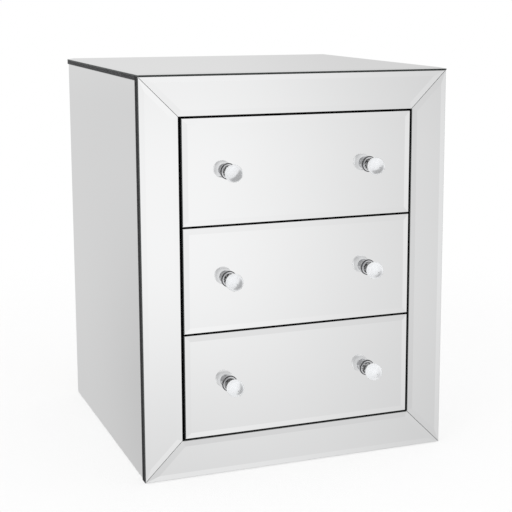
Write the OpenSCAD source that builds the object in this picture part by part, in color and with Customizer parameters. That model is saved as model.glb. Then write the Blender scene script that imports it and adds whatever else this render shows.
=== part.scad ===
// Mirrored nightstand with three drawers on ball-bearing slides, in millimetres.
// X runs left to right, Y runs front to back and Z runs up.
// The origin lies on the floor, at the centre of the footprint box, knobs included.

/* [Cabinet] */
// Width over the two side mirrors
body_w = 500; // [470:1:560]
// Depth from the face of the frame mirrors to the back edge
body_d = 488; // [460:1:540]
// Height from the floor to the face of the top mirror
body_h = 620; // [590:1:680]
// Thickness of the side panels, the top board and the bottom board
board_t = 15; // [12:0.5:18]
// Height of the top board's lip, the dark edge that shows above the side mirrors
top_lip_h = 6; // [4:0.5:9]
// Clear height under the bottom board, from the lower edge of the side panels
toe_h = 30; // [20:1:38]
// Thickness of the back panel
back_t = 5; // [3:0.5:6]
// Depth of the back panel's face inside the back edge
back_inset = 3; // [2.5:0.5:5]
// Width of the rebate that the back panel lies in
rebate_w = 8; // [6:0.5:10]

/* [Front frame] */
// Width of the mirror strips and of the frame boards behind them
frame_w = 59.5; // [52:0.5:66]
// Thickness of the frame boards
frame_t = 14; // [12:0.5:18]
// Height of a cross rail
cross_h = 15; // [12:0.5:16]
// Depth of a cross rail, front to back
cross_d = 40; // [25:1:60]
// Length of a cross rail's lap behind each stile
cross_lap = 20; // [12:1:30]

/* [Mirror glass] */
// Thickness of every sheet of mirror
glass_t = 4; // [3:0.5:5]
// Width of the bevel along the edges of a sheet
bevel_w = 9; // [6:0.5:12]
// Depth that the bevel takes off the edge of a sheet
bevel_drop = 2; // [1:0.25:2.5]
// Width of the open joint where two frame strips meet
mitre_gap = 0.4; // [0.2:0.1:0.8]

/* [Drawers] */
// Gap above, below and between the drawer fronts
gap_v = 3; // [2:0.5:4]
// Gap at each side of a drawer front
gap_side = 4; // [3:0.5:5]
// Distance that a drawer mirror stands out from the frame mirrors
front_proud = 2; // [0:0.5:3]
// Thickness of a drawer's front board
front_t = 14; // [12:0.5:16]
// Thickness of a drawer's side and back walls
wall_t = 12; // [9:0.5:15]
// Length of a drawer's side walls beyond the end of the slides
wall_extra = 2; // [0:0.5:10]
// Radius of the rounded upper edges of a drawer's side and back walls
wall_round = 2; // [1:0.5:4]
// Height from the foot of a drawer front to the foot of the drawer box
box_lift = 12; // [10:1:16]
// Height from the top of the drawer box to the top of the drawer front
box_drop = 25; // [16:1:40]
// Thickness of a drawer's bottom panel
bottom_t = 3; // [2.5:0.5:5]
// Depth of the groove that holds the bottom panel
groove_d = 5; // [3:0.5:6]
// Height from the foot of the drawer box to its groove
groove_lift = 8; // [6:0.5:12]

/* [Slides] */
// Length of a slide
slide_len = 400; // [360:1:440]
// Height of a slide
slide_h = 45; // [40:0.5:50]
// Thickness of a slide, from the batten to the drawer wall
slide_t = 12.7; // [12.5:0.1:14]
// Height of a slide's centre line above the foot of the drawer front
slide_lift = 70; // [60:1:85]
// Thickness of the sheet steel
sheet_t = 1.2; // [1:0.1:1.3]
// Outside radius of the bends
bend_r = 2; // [1.5:0.1:2.5]
// Diameter of the steel balls
ball_d = 4.8; // [4.6:0.1:5]
// Distance of the row of balls from the batten
ball_u = 7; // [6.9:0.1:7.2]
// Clearance between a ball and its tracks
ball_gap = 0.2; // [0.15:0.05:0.25]
// Distance from one ball to the next
ball_pitch = 12; // [10:0.5:12]
// Distance of a ball cage from each end of what channel and rail share, fully open
cage_end_gap = 3; // [2:0.5:8]
// Least width of the cage's strip beyond its end balls
cage_rim = 1; // [0.5:0.5:3]
// Thickness of the cage's strip
cage_t = 0.8; // [0.6:0.1:0.9]
// Distance that a drawer pulls out
drawer_travel = 290; // [250:1:320]
// Free space left behind a rail at the closed end of its channel
rail_end_gap = 4; // [3:0.5:6]
// Diameter of the screw holes in the slides
slide_hole_d = 4.6; // [4:0.1:5]
// Distance from the end of a slide to its first screw hole
slide_hole_inset = 35; // [25:1:45]
// Height of a runner batten
batten_h = 60; // [52:1:80]
// Gap between a runner batten and the back panel
batten_gap = 1; // [0.5:0.5:5]

/* [Knobs] */
// Distance of each knob from the middle of the drawer
knob_x = 115.5; // [90:0.5:130]
// Diameter of the crystal ball
crystal_d = 27; // [24:0.5:30]
// Distance from the drawer mirror to the centre of the ball
crystal_reach = 27; // [26:0.5:29]
// Diameter of the base's foot
foot_d = 25; // [22:0.5:28]
// Thickness of the foot
foot_t = 3; // [2:0.25:4]
// Diameter of the neck
neck_d = 12; // [10:0.5:14]
// Diameter of the cup that holds the ball
cup_d = 18; // [16:0.5:19]
// Radius of the bead rolled round the cup's rim
cup_bead = 0.8; // [0.5:0.1:1.2]
// Thickness of the film of glue between ball and cup
glue_t = 0.1; // [0.05:0.05:0.2]
// Diameter of the knob's machine screw
knob_screw_d = 4; // [3.5:0.1:4.5]
// Diameter of the head of that screw
knob_head_d = 8; // [7:0.5:10]
// Clearance of that screw through the drawer front, on the radius
knob_hole_gap = 0.25; // [0.1:0.05:0.5]
// Depth of the threaded hole in the base
knob_thread_len = 9; // [7:0.5:9]
// Depth left free in that hole beyond the tip of the screw
knob_tip_gap = 1; // [0.5:0.5:3]

/* [Small hardware] */
// Diameter of a floor glide
glide_d = 18; // [14:1:20]
// Height of a floor glide
glide_h = 2; // [1.5:0.25:3]
// Distance of a floor glide from the front and back ends of its side panel
glide_inset = 30; // [20:1:60]
// Diameter of a back panel screw
back_screw_d = 3.5; // [3:0.25:4]
// Diameter of a back panel screw's head
back_head_d = 7; // [6:0.5:7.5]
// Height of a screw's head
head_h = 2.2; // [1.8:0.1:2.4]
// Length of a back panel screw below its head
back_screw_len = 18; // [14:1:24]
// Number of screws up each side of the back panel
back_screws_up = 6; // [3:1:8]
// Number of screws across the top and bottom of the back panel
back_screws_across = 3; // [2:1:5]
// Clearance of a screw in its hole, on the radius
screw_gap = 0.1; // [0.05:0.05:0.2]

/* [Hidden] */

// Distance that a cut reaches past the surface it opens
spare = 1;

// Finishes
mirror_colour = [0.84, 0.85, 0.86];
paint_colour = [0.19, 0.19, 0.2];
board_colour = [0.72, 0.62, 0.48];
hardboard_colour = [0.45, 0.32, 0.2];
steel_colour = [0.66, 0.67, 0.69];
chrome_colour = [0.8, 0.81, 0.83];
crystal_colour = [0.86, 0.93, 0.97, 0.45];
plastic_colour = [0.08, 0.08, 0.08];

// Front to back
knob_reach = crystal_reach + crystal_d / 2;
back_y = (body_d + front_proud + knob_reach) / 2;
front_y = back_y - body_d;
frame_y = front_y + glass_t;
inside_y = frame_y + frame_t;
back_panel_y = back_y - back_inset - back_t;
drawer_face_y = front_y - front_proud;
drawer_board_y = drawer_face_y + glass_t;
drawer_box_y = drawer_board_y + front_t;
drawer_end_y = inside_y + slide_len + wall_extra;

// Side to side
panel_x = body_w / 2 - glass_t;
inside_x = panel_x - board_t;
opening_x = body_w / 2 - frame_w;
front_x = opening_x - gap_side;
box_x = opening_x - slide_t;
back_panel_x = inside_x + rebate_w;

// Floor to top
base_z = glide_h;
frame_top_z = body_h - glass_t;
lip_z = frame_top_z - top_lip_h;
top_board_z = frame_top_z - board_t;
opening_low_z = base_z + frame_w;
opening_high_z = frame_top_z - frame_w;
drawers = 3;
front_h = (opening_high_z - opening_low_z - (drawers + 1) * gap_v) / drawers;
box_h = front_h - box_lift - box_drop;
bottom_board_z = base_z + toe_h;
back_panel_top_z = top_board_z + rebate_w;

// Slides. A cage rests halfway along the rail, so at full travel it lies halfway
// along the stretch that channel and rail still share.
ball_r = ball_d / 2;
track_r = ball_r + ball_gap;
hook_r = track_r + sheet_t;
ball_v = slide_h / 2 - hook_r;
rail_v = ball_v - track_r;
rail_len = slide_len - rail_end_gap;
cage_len = rail_len - drawer_travel - 2 * cage_end_gap;
cage_u = (sheet_t + ball_u - hook_r - cage_t) / 2;
cage_lip_v = ball_v + 0.2 * ball_r;
cage_lip_u = ball_u + 0.75 * ball_r;
cage_rest_y = inside_y + (rail_len - cage_len) / 2;
cage_balls = floor((cage_len - ball_d - 2 * cage_rim) / ball_pitch) + 1;
cage_first_ball = (cage_len - (cage_balls - 1) * ball_pitch) / 2;
slide_hole_count = 4;
slide_hole_pitch = (rail_len - 2 * slide_hole_inset) / (slide_hole_count - 1);

// Number of drawers below the one of that name
function drawers_below(drawer) = drawer == "top" ? 2 : drawer == "middle" ? 1 : 0;

// Height of the foot of a drawer front
function front_z(drawer) = opening_low_z + gap_v + drawers_below(drawer) * (front_h + gap_v);

// Height of the centre line of a slide
function slide_z(drawer) = front_z(drawer) + slide_lift;

// Solid between two opposite corners
module block(low, high) {
  translate(low)
    cube(high - low);
}

// The right-hand piece, or its mirror image on the left
module handed(side) {
  mirror([side == "left" ? 1 : 0, 0, 0])
    children();
}

// Sheet of mirror glass with its back on the XY plane, bevelled along every edge.
// The outline is convex and runs anticlockwise.
module bevelled_sheet(outline) {
  count = len(outline);
  difference() {
    linear_extrude(glass_t)
      polygon(outline);
    for (i = [0 : count - 1]) {
      start = outline[i];
      run = outline[(i + 1) % count] - start;
      translate([start.x, start.y, glass_t - bevel_drop])
        rotate([0, 0, atan2(run.y, run.x)])
          translate([-spare, 0, 0])
            rotate([90, 0, 90])
              linear_extrude(norm(run) + 2 * spare)
                bevel_waste();
    }
  }
}

// Section of the glass that the grinding takes off, from outside the edge to past the bevel
module bevel_waste() {
  slope = bevel_drop / bevel_w;
  polygon([
    [-spare, -spare * slope],
    [bevel_w + spare, bevel_drop + spare * slope],
    [-spare, bevel_drop + spare * slope]
  ]);
}

// Stands a sheet upright with its face to the front at the given Y
module facing_front(face_y) {
  translate([0, face_y + glass_t, 0])
    rotate([90, 0, 0])
      children();
}

// Places of the screws round the back panel
module at_back_screws() {
  screw_x = back_panel_x - rebate_w / 2;
  low_z = bottom_board_z + board_t / 2;
  high_z = back_panel_top_z - rebate_w / 2;
  for (side = [-1, 1], i = [0 : back_screws_up - 1])
    translate([side * screw_x, back_y - back_inset, low_z + (high_z - low_z) * (i + 0.5) / back_screws_up])
      rotate([90, 0, 0])
        children();
  for (z = [low_z, high_z], i = [1 : back_screws_across])
    translate([screw_x * (2 * i / (back_screws_across + 1) - 1), back_y - back_inset, z])
      rotate([90, 0, 0])
        children();
}

// Hole for a back panel screw, bored from the back face towards the front
module back_screw_hole() {
  translate([0, 0, -spare])
    cylinder(d = back_screw_d + 2 * screw_gap, h = back_screw_len + 2 * spare, $fn = 24);
}

module side_panel(side) {
  color(board_colour)
    handed(side)
      difference() {
        block([inside_x, inside_y, base_z], [panel_x, back_y, top_board_z]);
        block(
          [inside_x - spare, back_panel_y, bottom_board_z],
          [back_panel_x, back_y + spare, top_board_z + spare]
        );
        at_back_screws()
          back_screw_hole();
      }
}

// The lip covers the top edge of both side mirrors
module top_board() {
  color(paint_colour)
    difference() {
      block([-body_w / 2, inside_y, top_board_z], [body_w / 2, back_y, frame_top_z]);
      for (side = ["left", "right"])
        handed(side)
          block(
            [panel_x, inside_y - spare, top_board_z - spare],
            [body_w / 2 + spare, back_y + spare, lip_z]
          );
      block(
        [-back_panel_x, back_panel_y, top_board_z - spare],
        [back_panel_x, back_y + spare, back_panel_top_z]
      );
      at_back_screws()
        back_screw_hole();
    }
}

module bottom_board() {
  color(board_colour)
    difference() {
      block([-inside_x, inside_y, bottom_board_z], [inside_x, back_panel_y, bottom_board_z + board_t]);
      at_back_screws()
        back_screw_hole();
    }
}

module back_panel() {
  color(hardboard_colour)
    difference() {
      block([-back_panel_x, back_panel_y, bottom_board_z], [back_panel_x, back_y - back_inset, back_panel_top_z]);
      at_back_screws()
        back_screw_hole();
    }
}

module back_panel_screws() {
  color(steel_colour)
    at_back_screws() {
      translate([0, 0, -head_h])
        cylinder(d = back_head_d, h = head_h, $fn = 24);
      cylinder(d = back_screw_d, h = back_screw_len, $fn = 24);
    }
}

module stile(side) {
  color(paint_colour)
    handed(side)
      block([opening_x, frame_y, base_z], [body_w / 2, inside_y, frame_top_z]);
}

module frame_rail(low_z) {
  color(paint_colour)
    block([-opening_x, frame_y, low_z], [opening_x, inside_y, low_z + frame_w]);
}

// Lies behind the gap over the given drawer, lapped behind both stiles
module cross_rail(drawer) {
  mid_z = front_z(drawer) + front_h + gap_v / 2;
  lap_x = opening_x + cross_lap;
  color(paint_colour)
    block([-lap_x, inside_y, mid_z - cross_h / 2], [lap_x, inside_y + cross_d, mid_z + cross_h / 2]);
}

// One batten for each drawer, from the side panel to the edge of the opening
module battens(side) {
  color(board_colour)
    handed(side)
      for (drawer = ["bottom", "middle", "top"])
        block(
          [opening_x, inside_y, slide_z(drawer) - batten_h / 2],
          [inside_x, back_panel_y - batten_gap, slide_z(drawer) + batten_h / 2]
        );
}

// Covers the whole top, bevelled all round
module top_mirror() {
  color(mirror_colour)
    translate([0, 0, frame_top_z])
      bevelled_sheet([
        [-body_w / 2, front_y],
        [body_w / 2, front_y],
        [body_w / 2, back_y],
        [-body_w / 2, back_y]
      ]);
}

// Flush with the frame's edge in front and with the top board's lip above
module side_mirror(side) {
  color(mirror_colour)
    handed(side)
      translate([panel_x, 0, 0])
        rotate([90, 0, 90])
          bevelled_sheet([
            [inside_y, base_z],
            [back_y, base_z],
            [back_y, lip_z],
            [inside_y, lip_z]
          ]);
}

module upright_frame_mirror(side) {
  color(mirror_colour)
    handed(side)
      facing_front(front_y)
        bevelled_sheet([
          [opening_x, opening_low_z + mitre_gap / 2],
          [body_w / 2, base_z + mitre_gap / 2],
          [body_w / 2, frame_top_z - mitre_gap / 2],
          [opening_x, opening_high_z - mitre_gap / 2]
        ]);
}

module top_frame_mirror() {
  color(mirror_colour)
    facing_front(front_y)
      bevelled_sheet([
        [-opening_x + mitre_gap / 2, opening_high_z],
        [opening_x - mitre_gap / 2, opening_high_z],
        [body_w / 2 - mitre_gap / 2, frame_top_z],
        [-body_w / 2 + mitre_gap / 2, frame_top_z]
      ]);
}

module bottom_frame_mirror() {
  color(mirror_colour)
    facing_front(front_y)
      bevelled_sheet([
        [-body_w / 2 + mitre_gap / 2, base_z],
        [body_w / 2 - mitre_gap / 2, base_z],
        [opening_x - mitre_gap / 2, opening_low_z],
        [-opening_x + mitre_gap / 2, opening_low_z]
      ]);
}

// Round discs under the side panels, chamfered where they meet the floor
module floor_glides() {
  chamfer = glide_h / 3;
  glide_x = panel_x - board_t / 2;
  color(plastic_colour)
    for (x = [-glide_x, glide_x], y = [inside_y + glide_inset, back_y - glide_inset])
      translate([x, y, 0]) {
        cylinder(d1 = glide_d - 2 * chamfer, d2 = glide_d, h = chamfer, $fn = 48);
        translate([0, 0, chamfer])
          cylinder(d = glide_d, h = glide_h - chamfer, $fn = 48);
      }
}

// Quarter of a bent strip of the given outside radius, in the first quadrant
module quarter_bend(outside_r) {
  intersection() {
    difference() {
      circle(outside_r, $fn = 48);
      circle(outside_r - sheet_t, $fn = 48);
    }
    square(outside_r + spare);
  }
}

// Section of a cabinet channel: web on the batten, arms that hook over the balls
module channel_section() {
  translate([0, bend_r - slide_h / 2])
    square([sheet_t, slide_h - 2 * bend_r]);
  for (up = [0, 1])
    mirror([0, up]) {
      translate([bend_r, slide_h / 2 - sheet_t])
        square([ball_u - bend_r, sheet_t]);
      translate([bend_r, slide_h / 2 - bend_r])
        mirror([1, 0])
          quarter_bend(bend_r);
      translate([ball_u, ball_v])
        quarter_bend(hook_r);
    }
}

// Section of a drawer rail: web on the drawer wall, arms that hook under the balls
module rail_section() {
  translate([slide_t - sheet_t, bend_r - rail_v])
    square([sheet_t, 2 * (rail_v - bend_r)]);
  for (up = [0, 1])
    mirror([0, up]) {
      translate([ball_u, rail_v - sheet_t])
        square([slide_t - bend_r - ball_u, sheet_t]);
      translate([slide_t - bend_r, rail_v - bend_r])
        quarter_bend(bend_r);
      translate([ball_u, ball_v])
        rotate(180)
          quarter_bend(hook_r);
    }
}

// Runs a slide section back from the given Y on one side of a drawer
module slide_run(side, drawer, start_y, length) {
  handed(side)
    translate([opening_x, start_y + length, slide_z(drawer)])
      mirror([1, 0, 0])
        rotate([90, 0, 0])
          linear_extrude(length)
            children();
}

// Screw holes through the webs of a slide, on its centre line
module slide_holes(side, drawer) {
  handed(side)
    for (i = [0 : slide_hole_count - 1])
      translate([box_x - spare, inside_y + slide_hole_inset + i * slide_hole_pitch, slide_z(drawer)])
        rotate([0, 90, 0])
          cylinder(d = slide_hole_d, h = slide_t + 2 * spare, $fn = 24);
}

module slide_channels(drawer) {
  color(steel_colour)
    for (side = ["left", "right"])
      difference() {
        union() {
          slide_run(side, drawer, inside_y, slide_len)
            channel_section();
          slide_run(side, drawer, inside_y + slide_len - sheet_t, sheet_t)
            end_stop_section();
        }
        slide_holes(side, drawer);
      }
}

// Tab folded across the closed end of a channel
module end_stop_section() {
  translate([0, -rail_v])
    square([ball_u, 2 * rail_v]);
}

module slide_rails(drawer) {
  color(steel_colour)
    for (side = ["left", "right"])
      difference() {
        slide_run(side, drawer, inside_y, rail_len)
          rail_section();
        slide_holes(side, drawer);
      }
}

// A bent strip whose lips hold a row of balls above and a row below
module ball_cages(drawer) {
  color(steel_colour)
    for (side = ["left", "right"]) {
      difference() {
        slide_run(side, drawer, cage_rest_y, cage_len)
          cage_section();
        at_balls(side, drawer)
          cylinder(r = track_r, h = ball_d, center = true, $fn = 24);
      }
      at_balls(side, drawer)
        sphere(d = ball_d, $fn = 32);
    }
}

module cage_section() {
  translate([cage_u, -cage_lip_v])
    square([cage_t, 2 * cage_lip_v]);
  for (up = [0, 1])
    mirror([0, up])
      translate([cage_u, cage_lip_v])
        square([cage_lip_u - cage_u, cage_t]);
}

module at_balls(side, drawer) {
  handed(side)
    for (row = [-1, 1], i = [0 : cage_balls - 1])
      translate([
        opening_x - ball_u,
        cage_rest_y + cage_first_ball + i * ball_pitch,
        slide_z(drawer) + row * ball_v
      ])
        children();
}

module drawer_front(drawer) {
  color(paint_colour)
    difference() {
      block([-front_x, drawer_board_y, front_z(drawer)], [front_x, drawer_box_y, front_z(drawer) + front_h]);
      at_knobs(drawer)
        knob_hole();
      block(
        [-box_x + wall_t - groove_d, drawer_box_y - groove_d, bottom_z(drawer)],
        [box_x - wall_t + groove_d, drawer_box_y + spare, bottom_z(drawer) + bottom_t]
      );
    }
}

module drawer_mirror(drawer) {
  color(mirror_colour)
    difference() {
      facing_front(drawer_face_y)
        bevelled_sheet([
          [-front_x, front_z(drawer)],
          [front_x, front_z(drawer)],
          [front_x, front_z(drawer) + front_h],
          [-front_x, front_z(drawer) + front_h]
        ]);
      at_knobs(drawer)
        knob_hole();
    }
}

// Height of the underside of a drawer's bottom panel
function bottom_z(drawer) = front_z(drawer) + box_lift + groove_lift;

// Section of a drawer wall of the given height, with both upper edges rounded
module wall_section(height) {
  square([wall_t, height - wall_round]);
  translate([wall_round, 0])
    square([wall_t - 2 * wall_round, height]);
  for (x = [wall_round, wall_t - wall_round])
    translate([x, height - wall_round])
      circle(wall_round, $fn = 48);
}

module drawer_wall(side, drawer) {
  color(board_colour)
    handed(side)
      difference() {
        translate([box_x - wall_t, drawer_end_y, front_z(drawer) + box_lift])
          rotate([90, 0, 0])
            linear_extrude(drawer_end_y - drawer_box_y)
              wall_section(box_h);
        block(
          [box_x - wall_t - spare, drawer_box_y - spare, bottom_z(drawer)],
          [box_x - wall_t + groove_d, drawer_end_y + spare, bottom_z(drawer) + bottom_t]
        );
      }
}

// Stands on the bottom panel, between the side walls
module drawer_back_wall(drawer) {
  color(board_colour)
    translate([wall_t - box_x, drawer_end_y - wall_t, bottom_z(drawer) + bottom_t])
      rotate([90, 0, 90])
        linear_extrude(2 * (box_x - wall_t))
          wall_section(box_h - groove_lift - bottom_t);
}

module drawer_bottom(drawer) {
  reach_x = box_x - wall_t + groove_d;
  color(hardboard_colour)
    block(
      [-reach_x, drawer_box_y - groove_d, bottom_z(drawer)],
      [reach_x, drawer_end_y, bottom_z(drawer) + bottom_t]
    );
}

// Both knobs of a drawer: Z of what is placed here points out of the drawer mirror
module at_knobs(drawer) {
  for (x = [-knob_x, knob_x])
    translate([x, drawer_face_y, front_z(drawer) + front_h / 2])
      rotate([90, 0, 0])
        children();
}

module knob_hole() {
  depth = glass_t + front_t;
  translate([0, 0, -depth - spare])
    cylinder(d = knob_screw_d + 2 * knob_hole_gap, h = depth + 2 * spare, $fn = 24);
}

// Turned foot with a hollow curve up to the neck, which opens into the cup
module knob_bases(drawer) {
  color(chrome_colour)
    at_knobs(drawer)
      rotate_extrude($fn = 96)
        knob_base_section();
}

module knob_base_section() {
  foot_r = foot_d / 2;
  neck_r = neck_d / 2;
  edge_r = foot_t / 2;
  hollow_r = foot_r - edge_r - neck_r;
  cup_low = foot_t + hollow_r;
  seat_r = crystal_d / 2 + glue_t;
  cup_high = crystal_reach - sqrt(seat_r * seat_r - cup_d * cup_d / 4);
  difference() {
    union() {
      square([foot_r - edge_r, foot_t]);
      translate([foot_r - edge_r, edge_r])
        circle(edge_r, $fn = 48);
      difference() {
        square([neck_r + hollow_r, cup_low]);
        translate([neck_r + hollow_r, cup_low])
          circle(hollow_r, $fn = 48);
      }
      polygon([
        [0, foot_t],
        [neck_r, foot_t],
        [neck_r, cup_low],
        [cup_d / 2, cup_high],
        [0, cup_high]
      ]);
      translate([cup_d / 2, cup_high])
        circle(cup_bead, $fn = 32);
    }
    translate([0, crystal_reach])
      circle(seat_r, $fn = 96);
    translate([-spare, -spare])
      square([spare + knob_screw_d / 2 + screw_gap, spare + knob_thread_len]);
  }
}

module knob_balls(drawer) {
  color(crystal_colour)
    at_knobs(drawer)
      translate([0, 0, crystal_reach])
        sphere(d = crystal_d, $fn = 96);
}

// Machine screws put in from inside the drawer
module knob_screws(drawer) {
  depth = glass_t + front_t;
  color(steel_colour)
    at_knobs(drawer)
      translate([0, 0, -depth]) {
        translate([0, 0, -head_h])
          cylinder(d = knob_head_d, h = head_h, $fn = 24);
        cylinder(d = knob_screw_d, h = depth + knob_thread_len - knob_tip_gap, $fn = 24);
      }
}

side_panel("left");  // left_side_panel
side_panel("right");  // right_side_panel
top_board();
bottom_board();
back_panel();
stile("left");  // left_stile
stile("right");  // right_stile
frame_rail(opening_high_z);  // top_rail
frame_rail(base_z);  // bottom_rail
cross_rail("middle");  // upper_cross_rail
cross_rail("bottom");  // lower_cross_rail
battens("left");  // left_battens
battens("right");  // right_battens
top_mirror();
side_mirror("left");  // left_side_mirror
side_mirror("right");  // right_side_mirror
upright_frame_mirror("left");  // left_frame_mirror
upright_frame_mirror("right");  // right_frame_mirror
top_frame_mirror();
bottom_frame_mirror();
floor_glides();
back_panel_screws();
slide_channels("top");  // top_slide_channels
slide_channels("middle");  // middle_slide_channels
slide_channels("bottom");  // bottom_slide_channels
ball_cages("top");  // top_ball_cages
ball_cages("middle");  // middle_ball_cages
ball_cages("bottom");  // bottom_ball_cages
slide_rails("top");  // top_slide_rails
slide_rails("middle");  // middle_slide_rails
slide_rails("bottom");  // bottom_slide_rails
drawer_front("top");  // top_drawer_front
drawer_front("middle");  // middle_drawer_front
drawer_front("bottom");  // bottom_drawer_front
drawer_mirror("top");  // top_drawer_mirror
drawer_mirror("middle");  // middle_drawer_mirror
drawer_mirror("bottom");  // bottom_drawer_mirror
drawer_wall("left", "top");  // top_drawer_left_wall
drawer_wall("left", "middle");  // middle_drawer_left_wall
drawer_wall("left", "bottom");  // bottom_drawer_left_wall
drawer_wall("right", "top");  // top_drawer_right_wall
drawer_wall("right", "middle");  // middle_drawer_right_wall
drawer_wall("right", "bottom");  // bottom_drawer_right_wall
drawer_back_wall("top");  // top_drawer_back_wall
drawer_back_wall("middle");  // middle_drawer_back_wall
drawer_back_wall("bottom");  // bottom_drawer_back_wall
drawer_bottom("top");  // top_drawer_bottom
drawer_bottom("middle");  // middle_drawer_bottom
drawer_bottom("bottom");  // bottom_drawer_bottom
knob_bases("top");  // top_knob_bases
knob_bases("middle");  // middle_knob_bases
knob_bases("bottom");  // bottom_knob_bases
knob_balls("top");  // top_knob_balls
knob_balls("middle");  // middle_knob_balls
knob_balls("bottom");  // bottom_knob_balls
knob_screws("top");  // top_knob_screws
knob_screws("middle");  // middle_knob_screws
knob_screws("bottom");  // bottom_knob_screws
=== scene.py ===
import math

import bmesh
import bpy
from mathutils import Matrix, Vector


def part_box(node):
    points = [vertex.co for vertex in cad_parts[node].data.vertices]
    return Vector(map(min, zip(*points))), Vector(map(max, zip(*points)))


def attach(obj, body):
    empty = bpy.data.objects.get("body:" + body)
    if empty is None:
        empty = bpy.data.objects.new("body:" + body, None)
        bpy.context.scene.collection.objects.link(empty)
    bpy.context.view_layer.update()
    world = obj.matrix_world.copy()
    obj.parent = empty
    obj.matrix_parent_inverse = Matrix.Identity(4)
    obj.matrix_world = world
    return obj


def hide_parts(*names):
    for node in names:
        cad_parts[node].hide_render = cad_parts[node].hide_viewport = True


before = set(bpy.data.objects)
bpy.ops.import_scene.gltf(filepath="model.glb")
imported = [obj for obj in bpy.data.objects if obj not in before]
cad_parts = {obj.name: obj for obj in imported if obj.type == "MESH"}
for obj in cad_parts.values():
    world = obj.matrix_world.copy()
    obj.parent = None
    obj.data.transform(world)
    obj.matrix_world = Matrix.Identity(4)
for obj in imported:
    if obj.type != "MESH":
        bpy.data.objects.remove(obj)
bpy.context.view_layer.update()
scene = bpy.context.scene


# Camera
# It stands to the left of the nightstand and a little above it, with a long lens. Its place
# and lens were fitted to the cabinet's edges in the photograph, with the shift kept small.
camera_place = Vector((-0.7126, -1.9948, 0.7318))
camera_turn = math.radians(22.144)
camera_pitch = math.radians(9.718)
camera_roll = math.radians(0.13)
focal_px = 1263.86
lens_axis_px = Vector((304.5, 211.5))
frame_px = 512

forward = Vector((
    math.sin(camera_turn) * math.cos(camera_pitch),
    math.cos(camera_turn) * math.cos(camera_pitch),
    -math.sin(camera_pitch),
))
level_right = Vector((math.cos(camera_turn), -math.sin(camera_turn), 0))
camera_right = Matrix.Rotation(-camera_roll, 3, forward) @ level_right
camera_up = camera_right.cross(forward)
lens = bpy.data.cameras.new("camera")
lens.lens = focal_px * lens.sensor_width / frame_px
lens.shift_x = (frame_px / 2 - lens_axis_px.x) / frame_px
lens.shift_y = (lens_axis_px.y - frame_px / 2) / frame_px
camera = bpy.data.objects.new("camera", lens)
turned = Matrix((camera_right, camera_up, -forward)).transposed().to_4x4()
camera.matrix_world = Matrix.Translation(camera_place) @ turned
scene.collection.objects.link(camera)
scene.camera = camera


# Floor
# A pale floor in a white studio. It keeps a soft shadow round the cabinet and fades into the
# white further out.
floor_half = 4.0
floor_colour = (0.9, 0.9, 0.9, 1)
floor_near = 0.55
floor_far = 1.5
floor_seen_through = 0.82
studio_plain = 0.78


def add(tree, kind, inputs=None, **settings):
    """New node of a tree. Its inputs are values, or the outputs of other nodes."""
    node = tree.nodes.new(kind)
    for name, value in settings.items():
        setattr(node, name, value)
    set_on(tree, node, inputs or {})
    return node


def set_on(tree, node, inputs):
    """Sets the inputs of a node, or links them where the value is another node's output."""
    for name, value in inputs.items():
        if isinstance(value, bpy.types.NodeSocket):
            tree.links.new(value, node.inputs[name])
        else:
            node.inputs[name].default_value = value


def worked_out(tree, operation, first, second=0.0):
    """One step of arithmetic on two numbers."""
    node = add(tree, "ShaderNodeMath", {0: first, 1: second}, operation=operation)
    return node.outputs[0]


def ramped(tree, value, start, end, low, high):
    """Goes smoothly from low to high as the value goes from start to end."""
    sockets = {"Value": value, "From Min": start, "From Max": end, "To Min": low, "To Max": high}
    return add(tree, "ShaderNodeMapRange", sockets, interpolation_type="SMOOTHSTEP").outputs[0]


def between(tree, share, first, second):
    """Number between two others."""
    return add(tree, "ShaderNodeMix", {0: share, 2: first, 3: second}).outputs[0]


def length_of(tree, reach):
    """Length of a vector."""
    return add(tree, "ShaderNodeVectorMath", {0: reach}, operation="LENGTH").outputs["Value"]


def empty_tree(owner):
    """Node tree of a material or a world, with nothing in it yet."""
    owner.use_nodes = True
    owner.node_tree.nodes.clear()
    return owner.node_tree


def shown_by_gloss(tree):
    """One for the rays that metal sends back or glass lets through."""
    path = add(tree, "ShaderNodeLightPath").outputs
    return worked_out(tree, "MAXIMUM", path["Is Glossy Ray"], path["Is Transmission Ray"])


def seen_as_background(tree):
    """One for the camera's own rays as well."""
    path = add(tree, "ShaderNodeLightPath").outputs
    return worked_out(tree, "MAXIMUM", path["Is Camera Ray"], shown_by_gloss(tree))


floor_mesh = bpy.data.meshes.new("floor")
corners = ((-1, -1), (1, -1), (1, 1), (-1, 1))
floor_mesh.from_pydata([(x * floor_half, y * floor_half, 0) for x, y in corners], [], [(0, 1, 2, 3)])
floor = bpy.data.objects.new("floor", floor_mesh)
scene.collection.objects.link(floor)
floor_finish = bpy.data.materials.new("studio_floor")
tree = empty_tree(floor_finish)
place = add(tree, "ShaderNodeTexCoord").outputs["Object"]
fading = ramped(tree, length_of(tree, place), floor_near, floor_far, floor_seen_through, 1.0)
seen = worked_out(tree, "MULTIPLY", add(tree, "ShaderNodeLightPath").outputs["Is Camera Ray"], fading)
share = worked_out(tree, "MAXIMUM", seen, shown_by_gloss(tree))
solid_floor = add(tree, "ShaderNodeBsdfDiffuse", {"Color": floor_colour})
clear_floor = add(tree, "ShaderNodeBsdfTransparent")
mixed = add(tree, "ShaderNodeMixShader", {0: share, 1: solid_floor.outputs[0], 2: clear_floor.outputs[0]})
add(tree, "ShaderNodeOutputMaterial", {"Surface": mixed.outputs[0]})
floor_mesh.materials.append(floor_finish)

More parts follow.
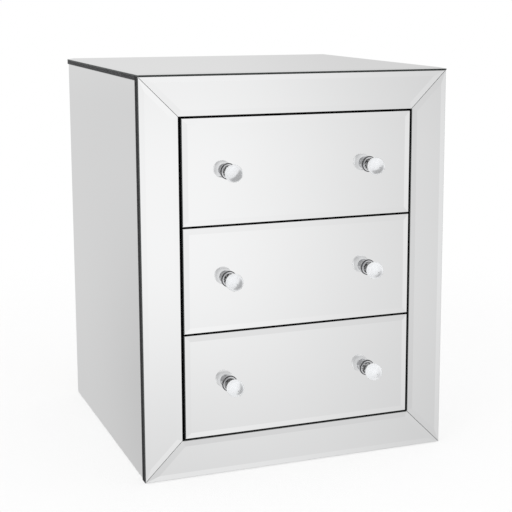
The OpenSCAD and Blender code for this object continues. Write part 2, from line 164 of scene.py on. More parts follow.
studio = bpy.data.worlds.new("studio")
scene.world = studio
tree = empty_tree(studio)
strength = between(tree, seen_as_background(tree), studio_plain, 1.0)
background = add(tree, "ShaderNodeBackground", {"Color": (1, 1, 1, 1), "Strength": strength})
add(tree, "ShaderNodeOutputWorld", {"Surface": background.outputs[0]})


# Light tent
# White cloth round the cabinet, which only polished metal and glass show. It is brightest in front,
# greyer to the right, low down and behind, and greyest round the opening on the left that the camera
# looks in by. The far right and the lowest part are bright again, and mostly the balls show them.
tent_radius = 1.1
tent_subdivisions = 5
tent_middle = Vector((0, 0, 0.31))

# Tones of the cloth. The pair after a tone says from where to where it changes along that axis.
front_cloth = 0.703
front_glow = 0.325
front_glow_x = (0.05, 0.85)
front_low_left = 0.7
front_low_right = 0.8
front_low_x = (0.0, 0.5)
front_low_z = (-0.5, 0.2)
lower_cloth = 0.9
lower_cloth_z = (-0.55, -0.25)
front_high = 0.95
front_high_z = (0.35, 0.6)
front_far_right = 1.45
front_far_right_x = (0.85, 1.0)
front_lowest = 1.4
front_lowest_z = (-0.7, -0.5)
back_cloth = 0.69
back_cloth_high = 0.055
back_cloth_high_z = (0.45, 0.7)
back_cloth_right = 0.07
back_cloth_right_x = (0.25, 0.65)
back_low = 0.93
back_low_z = (-0.35, 0.1)
back_low_left = 0.14
back_low_left_x = (-0.58, -0.40)
back_low_left_z = (-0.25, 0.35)
front_to_back_y = (-0.5, 0.1)

# The opening lies up on the left, where Z less X is large. Its other pairs are distances from its
# middle, seen from the front.
opening_middle = (-0.15, 0, 0.35)
up_left_limits = (0.62, 0.78)
opening_rim = 0.9
rim_reach = (0.2, 0.45)
opening_cloth = 0.48
opening_reach = (0.41, 0.5)
opening_fades = (0.75, 1.0)
opening_left_over = 0.3


def toned(tree, tone, value, limits, start, end):
    """Multiplies a tone by a factor that goes from start to end as the value passes the limits."""
    return worked_out(tree, "MULTIPLY", tone, ramped(tree, value, *limits, start, end))


tent_mesh = bpy.data.meshes.new("light_tent")
shell = bmesh.new()
bmesh.ops.create_icosphere(
    shell, subdivisions=tent_subdivisions, radius=tent_radius, matrix=Matrix.Translation(tent_middle))
shell.to_mesh(tent_mesh)
shell.free()
tent = bpy.data.objects.new("light_tent", tent_mesh)
scene.collection.objects.link(tent)
tent_cloth = bpy.data.materials.new("white_tent_cloth")
tree = empty_tree(tent_cloth)
place = add(tree, "ShaderNodeTexCoord").outputs["Object"]
axes = add(tree, "ShaderNodeSeparateXYZ", {0: place}).outputs
in_front = worked_out(tree, "ADD", front_cloth, ramped(tree, axes["X"], *front_glow_x, front_glow, 0.0))
front_low = ramped(tree, axes["X"], *front_low_x, front_low_left, front_low_right)
in_front = toned(tree, in_front, axes["Z"], front_low_z, front_low, 1.0)
in_front = toned(tree, in_front, axes["Z"], lower_cloth_z, lower_cloth, 1.0)
in_front = toned(tree, in_front, axes["Z"], front_high_z, 1.0, front_high)
in_front = toned(tree, in_front, axes["X"], front_far_right_x, 1.0, front_far_right)
in_front = toned(tree, in_front, axes["Z"], front_lowest_z, front_lowest, 1.0)
flat = add(tree, "ShaderNodeCombineXYZ", {"X": axes["X"], "Z": axes["Z"]}).outputs[0]
span = add(tree, "ShaderNodeVectorMath", {0: flat, 1: opening_middle}, operation="DISTANCE")
from_middle = span.outputs["Value"]
up_left = ramped(tree, worked_out(tree, "SUBTRACT", axes["Z"], axes["X"]), *up_left_limits, 0.0, 1.0)
rim_of_opening = toned(tree, up_left, from_middle, rim_reach, 0.0, 1.0)
in_front = worked_out(tree, "MULTIPLY", in_front, between(tree, rim_of_opening, 1.0, opening_rim))
opening = ramped(tree, from_middle, *opening_reach, 0.0, 1.0)
opening = toned(tree, opening, from_middle, opening_fades, 1.0, opening_left_over)
opening = worked_out(tree, "MULTIPLY", opening, up_left)
in_front = worked_out(tree, "MULTIPLY", in_front, between(tree, opening, 1.0, opening_cloth))
brighter = ramped(tree, axes["Z"], *back_cloth_high_z, 0.0, back_cloth_high)
behind = worked_out(tree, "ADD", back_cloth, brighter)
greyer = ramped(tree, axes["X"], *back_cloth_right_x, 0.0, back_cloth_right)
behind = worked_out(tree, "SUBTRACT", behind, greyer)
behind = toned(tree, behind, axes["Z"], back_low_z, back_low, 1.0)
low_left = ramped(tree, axes["X"], *back_low_left_x, back_low_left, 0.0)
low_left = toned(tree, low_left, axes["Z"], back_low_left_z, 1.0, 0.0)
behind = worked_out(tree, "MULTIPLY", behind, worked_out(tree, "SUBTRACT", 1.0, low_left))
tone = between(tree, ramped(tree, axes["Y"], *front_to_back_y, 0.0, 1.0), in_front, behind)
lit_cloth = add(tree, "ShaderNodeEmission", {"Color": (1, 1, 1, 1), "Strength": tone})
no_cloth = add(tree, "ShaderNodeBsdfTransparent")
shown = {0: shown_by_gloss(tree), 1: no_cloth.outputs[0], 2: lit_cloth.outputs[0]}
mixed = add(tree, "ShaderNodeMixShader", shown)
add(tree, "ShaderNodeOutputMaterial", {"Surface": mixed.outputs[0]})
tent_cloth.cycles.emission_sampling = "NONE"
tent_mesh.materials.append(tent_cloth)


# Softboxes
# Two square lamps with diffusers: one high on the left in front, one straight above. They stand
# outside the tent, whose cloth lets their light in.
softbox_watts = 22
left_box_place = Vector((-2.2, -1.9, 1.9))
left_box_size = 1.4
above_box_place = Vector((0.3, -0.2, 3.0))
above_box_size = 1.8


def softbox(name, place, size):
    """Lamp that is turned towards the middle of the cabinet."""
    lamp = bpy.data.lights.new(name, "AREA")
    lamp.shape = "SQUARE"
    lamp.size = size
    lamp.energy = softbox_watts
    box = bpy.data.objects.new(name, lamp)
    aim = (tent_middle - place).to_track_quat("-Z", "Y").to_matrix().to_4x4()
    box.matrix_world = Matrix.Translation(place) @ aim
    scene.collection.objects.link(box)


softbox("softbox_left", left_box_place, left_box_size)
softbox("softbox_above", above_box_place, above_box_size)
scene.view_settings.view_transform = "Standard"


# Carcass boards
# Side panels and bottom board are raw fibreboard, sawn to size and glued together. Short fibres
# and darker clouds show all over it.
fibreboard_light = (0.47, 0.34, 0.20, 1)
fibreboard_dark = (0.33, 0.225, 0.125, 1)
fibre_scale = 420.0
fibre_depth = 0.00025
fibre_cloud_scale = 14.0
fibre_cloud_noise = (0.2, 0.8)
fibre_cloud_tone = (0.8, 1.2)


def new_finish(name):
    """Material with its tree and its main shader."""
    material = bpy.data.materials.new(name)
    material.use_nodes = True
    tree = material.node_tree
    return material, tree, tree.nodes["Principled BSDF"]


def mottle(tree, scale, detail=3.0, stretch=(1, 1, 1)):
    """Noise from 0 to 1 in the piece's own space, drawn out along an axis by a small stretch."""
    place = add(tree, "ShaderNodeTexCoord").outputs["Object"]
    drawn = add(tree, "ShaderNodeMapping", {"Vector": place, "Scale": stretch}).outputs[0]
    return add(tree, "ShaderNodeTexNoise", {"Vector": drawn, "Scale": scale, "Detail": detail}).outputs[0]


def tinted(tree, share, first, second):
    """Colour between two others."""
    node = add(tree, "ShaderNodeMix", data_type="RGBA")
    set_on(tree, node, {0: share, 6: first, 7: second})
    return node.outputs[2]


def bumped(tree, height, depth):
    """Normal of a surface that rises and falls by the depth, in metres."""
    return add(tree, "ShaderNodeBump", {"Height": height, "Distance": depth}).outputs[0]


def give(finish, *nodes):
    """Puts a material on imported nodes."""
    for name in nodes:
        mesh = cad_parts[name].data
        mesh.materials.clear()
        mesh.materials.append(finish)


fibreboard, tree, shader = new_finish("raw_fibreboard")
fibres = mottle(tree, fibre_scale, detail=6.0)
clouds = ramped(tree, mottle(tree, fibre_cloud_scale, detail=4.0), *fibre_cloud_noise, *fibre_cloud_tone)
darkness = worked_out(tree, "MULTIPLY", fibres, clouds)
set_on(tree, shader, {
    "Base Color": tinted(tree, darkness, fibreboard_light, fibreboard_dark),
    "Roughness": 0.78,
    "Normal": bumped(tree, fibres, fibre_depth),
})
give(fibreboard, "left_side_panel", "right_side_panel", "bottom_board")


# Runner battens
# Planed softwood, glued flat to the inside of the side panels. They bring the slides out to the
# edge of the drawer opening.
softwood_pale = (0.66, 0.48, 0.29, 1)
softwood_ring = (0.50, 0.30, 0.14, 1)
softwood_ring_scale = 28.0
softwood_roughness = 0.55
y_axis = 1
ring_squeeze = 0.06
ring_share = 0.8
pore_scale = 900.0
pore_squeeze = 0.03
pore_share = 0.3
pore_depth = 0.0002
pore_roughness = 0.12
noise_middle = (0.3, 0.7)


def grained(name, pale, dark, along, ring_scale, roughness):
    """Planed wood with its grain along one axis of the piece. Returns the parts of its material
    and the colour that it has so far."""
    material, tree, shader = new_finish(name)
    place = add(tree, "ShaderNodeTexCoord").outputs["Object"]
    ring_stretch = tuple(ring_squeeze if axis == along else 1.0 for axis in range(3))
    pore_stretch = tuple(pore_squeeze if axis == along else 1.0 for axis in range(3))
    drawn = add(tree, "ShaderNodeMapping", {"Vector": place, "Scale": ring_stretch}).outputs[0]
    rings = add(tree, "ShaderNodeTexWave", {
        "Vector": drawn, "Scale": ring_scale, "Distortion": 7.0, "Detail": 3.0, "Detail Scale": 1.2,
    }, bands_direction="DIAGONAL").outputs["Fac"]
    pores = mottle(tree, pore_scale, detail=4.0, stretch=pore_stretch)
    shade = worked_out(tree, "ADD", worked_out(tree, "MULTIPLY", rings, ring_share),
                       worked_out(tree, "MULTIPLY", pores, pore_share))
    colour = tinted(tree, shade, pale, dark)
    set_on(tree, shader, {
        "Base Color": colour,
        "Roughness": ramped(tree, pores, *noise_middle, roughness, roughness + pore_roughness),
        "Normal": bumped(tree, pores, pore_depth),
    })
    return material, tree, shader, colour


softwood = grained(
    "planed_softwood", softwood_pale, softwood_ring, y_axis, softwood_ring_scale, softwood_roughness)[0]
give(softwood, "left_battens", "right_battens")


# Face frame and top board
# Fibreboard, glued together and sprayed with satin charcoal paint: stiles, rails and cross rails,
# and the top board in a slightly lighter grey. Only their edges show, between the mirror sheets.
charcoal = (0.011, 0.011, 0.012, 1)
charcoal_worn = (0.019, 0.019, 0.020, 1)
lip_grey = (0.036, 0.036, 0.038, 1)
lip_grey_worn = (0.052, 0.052, 0.054, 1)
paint_cloud_scale = 45.0
paint_streak_scale = 160.0
paint_roughness = (0.5, 0.62)
pebble_scale = 700.0
pebble_depth = 0.00003


def sprayed(name, colour, worn):
    """Satin paint with the fine pebbling of a spray gun."""
    material, tree, shader = new_finish(name)
    set_on(tree, shader, {
        "Base Color": tinted(tree, mottle(tree, paint_cloud_scale, detail=5.0), colour, worn),
        "Roughness": ramped(tree, mottle(tree, paint_streak_scale), *noise_middle, *paint_roughness),
        "Specular IOR Level": 0.08,
        "Normal": bumped(tree, mottle(tree, pebble_scale, detail=2.0), pebble_depth),
    })
    return material


charcoal_paint = sprayed("satin_charcoal_paint", charcoal, charcoal_worn)
give(charcoal_paint, "left_stile", "right_stile", "top_rail", "bottom_rail")
give(charcoal_paint, "upper_cross_rail", "lower_cross_rail")
give(sprayed("satin_grey_paint", lip_grey, lip_grey_worn), "top_board")


# Mirror sheets of the cabinet
# Float glass 4 mm thick, silvered on the back and cut to size. Every edge has a wide polished
# bevel, and the narrow rim that is left is ground matt. The sheets are glued flat to the boards.
silver_tint = (0.885, 0.887, 0.89, 1)
silver_film = (0.87, 0.873, 0.876, 1)
film_scale = 7.0
rim_dark = (0.028, 0.032, 0.031, 1)
rim_light = (0.05, 0.057, 0.055, 1)
rim_grit_scale = 900.0
rim_roughness = 0.4
backing_paint = (0.16, 0.165, 0.17, 1)
glass_index = 1.52
glass_haze = (0.012, 0.035)
half_facing = 0.5
bevel_lean = 0.217
bevel_lean_margin = 0.05
# Depths below the face past which a bevel is painted dark as the rim's reflection: the first on rims that
# face the wide side, the second elsewhere.
near_painted_reflection_depth = 0.00177
far_painted_reflection_depth = 0.00195


def vector_step(tree, operation, first, second=(0, 0, 0)):
    """One step of arithmetic on two vectors."""
    node = add(tree, "ShaderNodeVectorMath", {0: first, 1: second}, operation=operation)
    return node.outputs[0]


def scaled(tree, first, size):
    """A vector made longer or shorter."""
    return add(tree, "ShaderNodeVectorMath", {0: first, "Scale": size}, operation="SCALE").outputs[0]


def reach_along(tree, first, second):
    """How far one vector reaches along another."""
    node = add(tree, "ShaderNodeVectorMath", {0: first, 1: second}, operation="DOT_PRODUCT")
    return node.outputs["Value"]


def silvered(name, facing, sheet, wide_painted_reflections=(-1, 0, 1)):
    """Finish of a node's sheet, whose face looks along facing. Its silver lies behind the glass,
    so a bevel works as a prism: it bends a reflection towards the thick side of the sheet, half as
    far as a tilted plane mirror would, and the other way. A faint second reflection lies on the
    glass itself. A thin dark line along each rim is a painted reflection of that rim in the silver,
    fixed on the glass, with the metal turned off and the ground rim's colour painted in. It is widest
    where the rim faces left or up, or as the last argument says."""
    material, tree, shader = new_finish(name)
    normal = add(tree, "ShaderNodeNewGeometry").outputs["True Normal"]
    lean = reach_along(tree, normal, facing)
    rim = worked_out(tree, "LESS_THAN", worked_out(tree, "ABSOLUTE", lean), half_facing)
    backing = worked_out(tree, "LESS_THAN", lean, -half_facing)
    polished = worked_out(tree, "GREATER_THAN", lean, half_facing)
    away = vector_step(tree, "SUBTRACT", facing, normal)
    bent = scaled(tree, away, worked_out(tree, "MULTIPLY", polished, glass_index))
    prism = vector_step(tree, "NORMALIZE", vector_step(tree, "ADD", normal, bent))
    low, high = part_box(sheet)
    face = max(low.dot(Vector(facing)), high.dot(Vector(facing)))
    place = add(tree, "ShaderNodeTexCoord").outputs["Object"]
    depth = worked_out(tree, "SUBTRACT", face, reach_along(tree, place, facing))
    sideways = vector_step(tree, "SUBTRACT", normal, scaled(tree, facing, lean))
    outward = reach_along(tree, sideways, wide_painted_reflections)
    near = add(tree, "ShaderNodeMath", {0: outward, 1: bevel_lean, 2: bevel_lean_margin}, operation="COMPARE")
    painted_reflection_depth = between(tree, near.outputs[0], far_painted_reflection_depth, near_painted_reflection_depth)
    # Painted reflection: the bevel's outer strip next to the rim loses its metal and gets the ground rim's
    # dark colour, standing in for the rim seen again in the silver.
    line = worked_out(tree, "MULTIPLY", worked_out(tree, "GREATER_THAN", depth, painted_reflection_depth), polished)
    rim = worked_out(tree, "MAXIMUM", rim, line)
    film = mottle(tree, film_scale, detail=5.0)
    silver = tinted(tree, film, silver_tint, silver_film)
    ground = tinted(tree, mottle(tree, rim_grit_scale), rim_dark, rim_light)
    haze = ramped(tree, film, *noise_middle, *glass_haze)
    set_on(tree, shader, {
        "Base Color": tinted(tree, backing, tinted(tree, rim, silver, ground), backing_paint),
        "Metallic": worked_out(tree, "SUBTRACT", polished, line),
        "Roughness": between(tree, polished, rim_roughness, haze),
        "Specular IOR Level": 0.15,
        "Normal": prism,
        "Coat Weight": polished,
        "Coat IOR": glass_index,
        "Coat Roughness": 0.01,
    })
    return material


frame_silver = silvered("silvered_glass_frame", (0, -1, 0), "top_frame_mirror")
give(frame_silver, "left_frame_mirror", "right_frame_mirror", "top_frame_mirror", "bottom_frame_mirror")
give(silvered("silvered_glass_top", (0, 0, 1), "top_mirror"), "top_mirror")
give(silvered("silvered_glass_left", (-1, 0, 0), "left_side_mirror"), "left_side_mirror")
give(silvered("silvered_glass_right", (1, 0, 0), "right_side_mirror"), "right_side_mirror")


# Back panel and its screws
# Hardboard 5 mm thick, smooth towards the room, in the rebates of the side panels. Pan-head
# screws with a cross recess, turned and zinc-plated, hold it to the panels and the boards.
hardboard_brown = (0.20, 0.115, 0.06, 1)
hardboard_fleck = (0.30, 0.185, 0.10, 1)
hardboard_roughness = (0.42, 0.6)
fleck_scale = 700.0
fleck_noise = (0.45, 0.95)
fleck_depth = 0.00012
stain_scale = 9.0
stain_share = 0.4
zinc = (0.60, 0.615, 0.63, 1)
zinc_dull = (0.47, 0.48, 0.485, 1)
zinc_cloud_scale = 60.0
turned_line_scale = 1500.0
turned_line_depth = 0.00004
line_roughness = 0.14
screw_roughness = 0.22
panel_screw_x = 0.235
panel_screw_rows = 6
panel_screw_low = 0.086625
panel_screw_high = 0.557875
board_screw_x = (-0.1175, 0.0, 0.1175)
board_screw_z = (0.0395, 0.605)
panel_head = 0.007
head_height = 0.0022
panel_shank = 0.0035
panel_turn_seed = 11
pan_dome = 0.72
bar_sides = 20
head_rings = 5
shank_rings = 9
tip_taper = 4.5
recess_length = 0.56
recess_width = 0.13
recess_height = 1.2
sharp_edge = math.radians(35)

hardboard, tree, shader = new_finish("brown_hardboard")
fleck = mottle(tree, fleck_scale, detail=5.0)
stain = worked_out(tree, "MULTIPLY", mottle(tree, stain_scale, detail=4.0), stain_share)
flecks = ramped(tree, worked_out(tree, "ADD", fleck, stain), *fleck_noise, 0.0, 1.0)
set_on(tree, shader, {
    "Base Color": tinted(tree, flecks, hardboard_brown, hardboard_fleck),
    "Roughness": ramped(tree, fleck, *noise_middle, *hardboard_roughness),
    "Normal": bumped(tree, fleck, fleck_depth),
})
give(hardboard, "back_panel")


def zinc_plated(name, roughness, stretch):
    """Zinc plate over steel, with faint lines along the way that it was rolled or turned."""
    material, tree, shader = new_finish(name)
    lines = mottle(tree, turned_line_scale, stretch=stretch)
    set_on(tree, shader, {
        "Base Color": tinted(tree, mottle(tree, zinc_cloud_scale, detail=4.0), zinc, zinc_dull),
        "Metallic": 1.0,
        "Roughness": ramped(tree, lines, *noise_middle, roughness, roughness + line_roughness),
        "Normal": bumped(tree, lines, turned_line_depth),
    })
    return material


screw_zinc = zinc_plated("zinc_plated_screws", screw_roughness, (1, 1, 1))


def screw_tree():
    """Geometry Nodes that put one cross-head screw on each point of a mesh, with its head towards
    the point's facing. Lengths are in metres."""
    tree = bpy.data.node_groups.new("cross_head_screws", "GeometryNodeTree")
    sockets = tree.interface
    sockets.new_socket("Points", in_out="INPUT", socket_type="NodeSocketGeometry")
    for name in ("Head Diameter", "Head Height", "Base Share", "Dome", "Shank Diameter", "Shank Length"):
        sockets.new_socket(name, in_out="INPUT", socket_type="NodeSocketFloat")
    sockets.new_socket("Turn Seed", in_out="INPUT", socket_type="NodeSocketInt")
    sockets.new_socket("Finish", in_out="INPUT", socket_type="NodeSocketMaterial")
    sockets.new_socket("Screws", in_out="OUTPUT", socket_type="NodeSocketGeometry")
    sizes = add(tree, "NodeGroupInput").outputs

    def turned_bar(diameter, length, steps, lift, profile):
        """Round bar whose radius follows a profile from its lower end, 0, to its upper end, 1."""
        radius = worked_out(tree, "MULTIPLY", diameter, 0.5)
        bar = add(tree, "GeometryNodeMeshCylinder", {
            "Vertices": bar_sides, "Side Segments": steps, "Radius": radius, "Depth": length,
        }, fill_type="TRIANGLE_FAN").outputs["Mesh"]
        place = add(tree, "GeometryNodeInputPosition").outputs[0]
        height = add(tree, "ShaderNodeSeparateXYZ", {0: place}).outputs["Z"]
        wide = profile(worked_out(tree, "ADD", worked_out(tree, "DIVIDE", height, length), 0.5))
        scale = add(tree, "ShaderNodeCombineXYZ", {"X": wide, "Y": wide, "Z": 1.0}).outputs[0]
        shaped = vector_step(tree, "MULTIPLY", place, scale)
        rise = add(tree, "ShaderNodeCombineXYZ", {"Z": lift}).outputs[0]
        raised = vector_step(tree, "ADD", shaped, rise)
        return add(tree, "GeometryNodeSetPosition", {"Geometry": bar, "Position": raised}).outputs[0]

    def head_profile(along):
        flare = between(tree, along, sizes["Base Share"], 1.0)
        dome = worked_out(tree, "MULTIPLY", along, sizes["Dome"])
        fall = worked_out(tree, "SUBTRACT", 1.0, worked_out(tree, "MULTIPLY", dome, dome))
        return worked_out(tree, "MULTIPLY", flare, worked_out(tree, "SQRT", fall))

    def tip_profile(along):
        return worked_out(tree, "MINIMUM", 1.0, worked_out(tree, "MULTIPLY", along, tip_taper))

    half_head = worked_out(tree, "MULTIPLY", sizes["Head Height"], 0.5)
    head = turned_bar(sizes["Head Diameter"], sizes["Head Height"], head_rings, half_head, head_profile)
    long_way = worked_out(tree, "MULTIPLY", sizes["Head Diameter"], recess_length)
    short_way = worked_out(tree, "MULTIPLY", sizes["Head Diameter"], recess_width)
    deep = worked_out(tree, "MULTIPLY", sizes["Head Height"], recess_height)
    lift = add(tree, "ShaderNodeCombineXYZ", {"Z": sizes["Head Height"]}).outputs[0]
    cut = add(tree, "GeometryNodeMeshBoolean", {"Mesh 1": head}, operation="DIFFERENCE")
    for across, along in ((long_way, short_way), (short_way, long_way)):
        block = add(tree, "ShaderNodeCombineXYZ", {"X": across, "Y": along, "Z": deep}).outputs[0]
        wing = add(tree, "GeometryNodeMeshCube", {"Size": block}).outputs["Mesh"]
        wing = add(tree, "GeometryNodeTransform", {"Geometry": wing, "Translation": lift}).outputs[0]
        tree.links.new(wing, cut.inputs["Mesh 2"])
    shank_lift = worked_out(tree, "MULTIPLY", sizes["Shank Length"], -0.5)
    shank = turned_bar(sizes["Shank Diameter"], sizes["Shank Length"], shank_rings, shank_lift, tip_profile)
    screw = add(tree, "GeometryNodeJoinGeometry")
    for part in (cut.outputs["Mesh"], shank):
        tree.links.new(part, screw.inputs[0])
    facing = add(tree, "GeometryNodeInputNamedAttribute", data_type="FLOAT_VECTOR")
    facing.inputs["Name"].default_value = "facing"
    aimed = add(tree, "FunctionNodeAlignRotationToVector", {"Vector": facing.outputs[0]}, axis="Z")
    turn = add(tree, "FunctionNodeRandomValue", data_type="FLOAT")
    set_on(tree, turn, {2: 0.0, 3: math.tau, "Seed": sizes["Turn Seed"]})
    spin = add(tree, "FunctionNodeAxisAngleToRotation", {"Axis": (0, 0, 1), "Angle": turn.outputs[1]})
    rotation = add(tree, "FunctionNodeRotateRotation", {
        "Rotation": aimed.outputs[0], "Rotate By": spin.outputs[0],
    }, rotation_space="LOCAL")
    placed = add(tree, "GeometryNodeInstanceOnPoints", {
        "Points": sizes["Points"], "Instance": screw.outputs[0], "Rotation": rotation.outputs[0],
    }).outputs[0]
    real = add(tree, "GeometryNodeRealizeInstances", {"Geometry": placed}).outputs[0]
    done = add(tree, "GeometryNodeSetMaterial", {"Geometry": real, "Material": sizes["Finish"]}).outputs[0]
    add(tree, "NodeGroupOutput", {"Screws": done})
    return tree


screws_on_points = screw_tree()


def driven_screws(name, body, places, facings, sizes, seed, replaced=()):
    """One piece with a screw on each place, whose head faces along the same item of facings."""
    rows = bpy.data.meshes.new(name + "_places")
    rows.from_pydata(places, [], [])
    kept = rows.attributes.new("facing", "FLOAT_VECTOR", "POINT")
    for row, facing in zip(kept.data, facings):
        row.vector = facing
    maker = bpy.data.objects.new(name + "_maker", rows)
    scene.collection.objects.link(maker)
    modifier = maker.modifiers.new("screws", "NODES")
    modifier.node_group = screws_on_points
    values = {**sizes, "Turn Seed": seed, "Finish": screw_zinc}
    for socket in screws_on_points.interface.items_tree:
        if socket.in_out == "INPUT" and socket.name in values:
            modifier[socket.identifier] = values[socket.name]
    made = maker.evaluated_get(bpy.context.evaluated_depsgraph_get())
    mesh = bpy.data.meshes.new_from_object(made)
    bpy.data.objects.remove(maker)
    mesh.name = name
    mesh.shade_smooth()
    mesh.set_sharp_from_angle(angle=sharp_edge)
    piece = bpy.data.objects.new(name, mesh)
    scene.collection.objects.link(piece)
    if replaced:
        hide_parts(*replaced)
    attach(piece, body)


low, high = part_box("back_panel_screws")
panel_face = high.y - head_height
step = (panel_screw_high - panel_screw_low) / (panel_screw_rows - 1)
places = [(side * panel_screw_x, panel_face, panel_screw_low + row * step)
          for side in (-1, 1) for row in range(panel_screw_rows)]
places += [(x, panel_face, z) for z in board_screw_z for x in board_screw_x]
driven_screws("back_panel_cross_screws", "cabinet", places, [(0, 1, 0)] * len(places), {
    "Head Diameter": panel_head, "Head Height": head_height, "Base Share": 1.0, "Dome": pan_dome,
    "Shank Diameter": panel_shank, "Shank Length": panel_face - low.y,
}, panel_turn_seed, ["back_panel_screws"])


# Slides and ball cages
# Channels and rails are rolled from zinc-plated sheet steel. Between them runs a pressed cage
# with two rows of hardened steel balls. Flat-head screws in the webs hold them to the wood.
rolled_roughness = 0.3
rolled_stretch = (1, 0.02, 1)
slide_screw_y = (-0.16975, -0.06108, 0.04758, 0.15625)
slide_head = 0.0044
slide_head_height = 0.0011
slide_shank = 0.003
slide_shank_length = 0.0095
channel_turn_seed = 21
rail_turn_seed = 31

rolled_zinc = zinc_plated("zinc_plated_slides", rolled_roughness, rolled_stretch)
slide_screw = {
    "Head Diameter": slide_head, "Head Height": slide_head_height, "Base Share": slide_shank / slide_head,
    "Dome": 0.0, "Shank Diameter": slide_shank, "Shank Length": slide_shank_length,
}
holes = [(side, y) for side in (-1, 1) for y in slide_screw_y]
for level, drawer in enumerate(("top", "middle", "bottom")):
    channels, rails = drawer + "_slide_channels", drawer + "_slide_rails"
    give(rolled_zinc, channels, rails, drawer + "_ball_cages")
    low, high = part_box(channels)
    middle = (low.z + high.z) / 2
    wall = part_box(drawer + "_drawer_right_wall")[1].x
    in_channels = [(side * high.x, y, middle) for side, y in holes]
    in_rails = [(side * wall, y, middle) for side, y in holes]
    inwards = [(-side, 0, 0) for side, y in holes]
    outwards = [(side, 0, 0) for side, y in holes]
    driven_screws(drawer + "_channel_screws", "cabinet",
                  in_channels, inwards, slide_screw, channel_turn_seed + level)
    driven_screws(drawer + "_rail_screws", drawer + "_drawer",
                  in_rails, outwards, slide_screw, rail_turn_seed + level)


# Drawer boxes
# Side and back walls are lacquered birch plywood with rounded upper edges, where its layers show.
# The bottom is thin hardboard that lies in a groove, and the front board is painted charcoal.
birch_pale = (0.74, 0.60, 0.41, 1)
birch_dark = (0.56, 0.395, 0.225, 1)
birch_ring_scale = 16.0
birch_roughness = 0.38
glue_line = (0.36, 0.22, 0.11, 1)
glue_line_limits = (0.72, 0.95)
x_axis = 0
ply_face_lean = (0.9, 0.98)
ply_count = 7
wall_thickness = 0.012


def plywood(name, along, across):
    """Birch plywood with its grain along one axis and its layers stacked across another."""
    material, tree, shader, face_colour = grained(
        name, birch_pale, birch_dark, along, birch_ring_scale, birch_roughness)
    normal = add(tree, "ShaderNodeNewGeometry").outputs["True Normal"]
    place = add(tree, "ShaderNodeTexCoord").outputs["Object"]
    depth = add(tree, "ShaderNodeSeparateXYZ", {0: place}).outputs[across]
    plies = worked_out(tree, "MULTIPLY", depth, ply_count / wall_thickness)
    layer = worked_out(tree, "PINGPONG", plies, 1.0)
    lean = add(tree, "ShaderNodeSeparateXYZ", {0: normal}).outputs[across]
    edge = ramped(tree, worked_out(tree, "ABSOLUTE", lean), *ply_face_lean, 1.0, 0.0)
    line = worked_out(tree, "MULTIPLY", ramped(tree, layer, *glue_line_limits, 0.0, 1.0), edge)
    set_on(tree, shader, {"Base Color": tinted(tree, line, face_colour, glue_line)})
    return material


# On the drawer sheets the painted rim reflection is wide only on rims that face left, so it stays thin on
# their upper rims.
drawer_silver = silvered("silvered_glass_drawers", (0, -1, 0), "top_drawer_mirror", (-1, 0, 0))
side_ply = plywood("birch_plywood_sides", y_axis, x_axis)
back_ply = plywood("birch_plywood_backs", x_axis, y_axis)
for drawer in ("top", "middle", "bottom"):
    give(side_ply, drawer + "_drawer_left_wall", drawer + "_drawer_right_wall")
    give(back_ply, drawer + "_drawer_back_wall")
    give(hardboard, drawer + "_drawer_bottom")
    give(charcoal_paint, drawer + "_drawer_front")
    give(drawer_silver, drawer + "_drawer_mirror")


# Knobs
# A clear polished crystal ball, glued into the silvered cup of a turned brass base. The base is
# chrome-plated and polished, with painted shade in the hollow round its neck and a painted dark
# ring of shade on the edge of its foot. A machine screw from inside the drawer holds it.
chrome_tint = (0.80, 0.805, 0.82, 1)
chrome_wiped = (0.76, 0.765, 0.78, 1)
# Painted shade: a dark ring on the foot's edge, grey in the outer cove, and near black with lighter flecks
# deep in the hollow round the neck.
painted_foot_edge_shade = (0.12, 0.12, 0.124, 1)
painted_cove_grey = (0.46, 0.463, 0.47, 1)
painted_hollow_shade = (0.05, 0.05, 0.052, 1)
chrome_fleck = (0.55, 0.553, 0.56, 1)
chrome_roughness = (0.03, 0.08)
wiped_scale = 90.0
chrome_fleck_scale = 420.0
chrome_fleck_noise = (0.44, 0.6)
seat_silver = (0.95, 0.95, 0.955, 1)
seat_roughness = 0.08
seat_lean = 0.6
crystal_clear = (0.985, 0.99, 0.995, 1)
crystal_cool = (0.965, 0.975, 0.985, 1)
crystal_cloud_scale = 120.0
knob_x = 0.1155
foot_edge_radius = 0.0109
foot_edge_low = 0.0013
foot_edge_high = 0.0031
hollow_high = 0.0086
hollow_deep_radius = 0.0084
hollow_shallow_radius = 0.0100
hollow_side_lean = (0.1, 0.3)
hollow_flat_lean = (0.94, 0.995)
knob_head = 0.008
knob_shank = 0.004
knob_turn_seed = 41
seat_margin = 0.0002


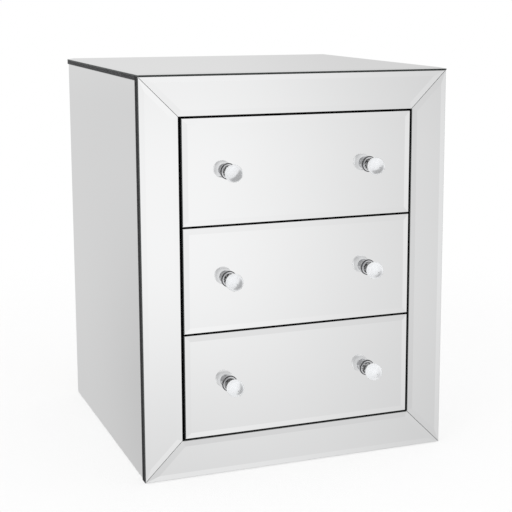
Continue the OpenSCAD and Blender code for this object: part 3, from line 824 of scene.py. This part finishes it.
def knob_plate(drawer):
    """Plate of the two bases of a drawer, with painted shade in the hollow round the neck and on the
    edge of the foot. Its zones are told apart by how far a point lies from the knob's axis and from
    the glass, and by how much its surface faces forwards."""
    material, tree, shader = new_finish(drawer + "_knob_plate")
    low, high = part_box(drawer + "_knob_balls")
    ball_middle = Vector((knob_x, (low.y + high.y) / 2, (low.z + high.z) / 2))
    ball_radius = (high.z - low.z) / 2
    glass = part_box(drawer + "_knob_bases")[1].y
    place = add(tree, "ShaderNodeTexCoord").outputs["Object"]
    axes = add(tree, "ShaderNodeSeparateXYZ", {0: place}).outputs
    mirrored = add(tree, "ShaderNodeCombineXYZ", {
        "X": worked_out(tree, "ABSOLUTE", axes["X"]), "Y": axes["Y"], "Z": axes["Z"],
    }).outputs[0]
    inward = vector_step(tree, "SUBTRACT", mirrored, ball_middle)
    from_ball = length_of(tree, inward)
    from_axis = length_of(tree, vector_step(tree, "MULTIPLY", inward, (1, 0, 1)))
    off_glass = worked_out(tree, "SUBTRACT", glass, axes["Y"])
    normal = add(tree, "ShaderNodeNewGeometry").outputs["True Normal"]
    forwards = reach_along(tree, normal, (0, -1, 0))
    # Painted shade: a dark ring on the edge of the foot.
    edge = worked_out(tree, "MULTIPLY", worked_out(tree, "GREATER_THAN", from_axis, foot_edge_radius),
                      worked_out(tree, "LESS_THAN", off_glass, foot_edge_high))
    edge = worked_out(tree, "MULTIPLY", edge, worked_out(tree, "GREATER_THAN", off_glass, foot_edge_low))
    # Painted shade in the hollow round the neck, where the surface curves.
    curved = worked_out(tree, "MULTIPLY", ramped(tree, forwards, *hollow_side_lean, 0.0, 1.0),
                        ramped(tree, forwards, *hollow_flat_lean, 1.0, 0.0))
    hollow = worked_out(tree, "MULTIPLY", curved, worked_out(tree, "LESS_THAN", off_glass, hollow_high))
    seat = worked_out(tree, "MULTIPLY", worked_out(tree, "LESS_THAN", from_ball, ball_radius + seat_margin),
                      worked_out(tree, "GREATER_THAN", forwards, seat_lean))
    wiped = mottle(tree, wiped_scale, detail=4.0)
    polished = tinted(tree, wiped, chrome_tint, chrome_wiped)
    flecks = ramped(tree, mottle(tree, chrome_fleck_scale, detail=2.0), *chrome_fleck_noise, 0.0, 1.0)
    flecked_painted_shade = tinted(tree, flecks, painted_hollow_shade, chrome_fleck)
    shallow = ramped(tree, from_axis, hollow_deep_radius, hollow_shallow_radius, 0.0, 1.0)
    painted_cove_shade = tinted(tree, shallow, flecked_painted_shade, painted_cove_grey)
    plate_with_painted_shade = tinted(tree, edge, tinted(tree, hollow, polished, painted_cove_shade), painted_foot_edge_shade)
    wiped_roughness = ramped(tree, wiped, *noise_middle, *chrome_roughness)
    set_on(tree, shader, {
        "Base Color": tinted(tree, seat, plate_with_painted_shade, seat_silver),
        "Metallic": 1.0,
        "Roughness": between(tree, seat, wiped_roughness, seat_roughness),
    })
    return material


crystal, tree, shader = new_finish("clear_crystal")
set_on(tree, shader, {
    "Base Color": tinted(tree, mottle(tree, crystal_cloud_scale), crystal_clear, crystal_cool),
    "Transmission Weight": 1.0,
    "IOR": 1.54,
    "Roughness": 0.0,
})
for level, drawer in enumerate(("top", "middle", "bottom")):
    give(knob_plate(drawer), drawer + "_knob_bases")
    give(crystal, drawer + "_knob_balls")
    low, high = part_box(drawer + "_knob_screws")
    board_back = high.y - head_height
    places = [(side * knob_x, board_back, (low.z + high.z) / 2) for side in (-1, 1)]
    driven_screws(drawer + "_knob_cross_screws", drawer + "_drawer", places, [(0, 1, 0)] * 2, {
        "Head Diameter": knob_head, "Head Height": head_height, "Base Share": 1.0, "Dome": pan_dome,
        "Shank Diameter": knob_shank, "Shank Length": board_back - low.y,
    }, knob_turn_seed + level, [drawer + "_knob_screws"])


# Floor glides
# Small black plastic discs, glued under the side panels and chamfered where they meet the floor.
# They keep the glass edges off it.
plastic_black = (0.018, 0.018, 0.019, 1)
plastic_scuffed = (0.03, 0.03, 0.031, 1)
scuff_scale = 200.0
plastic_cloud_scale = 500.0
plastic_roughness = (0.4, 0.55)
moulded_grain_scale = 2500.0
moulded_grain_depth = 0.00005

glide_plastic, tree, shader = new_finish("black_glide_plastic")
set_on(tree, shader, {
    "Base Color": tinted(tree, mottle(tree, scuff_scale), plastic_black, plastic_scuffed),
    "Roughness": ramped(tree, mottle(tree, plastic_cloud_scale), *noise_middle, *plastic_roughness),
    "Normal": bumped(tree, mottle(tree, moulded_grain_scale), moulded_grain_depth),
})
give(glide_plastic, "floor_glides")
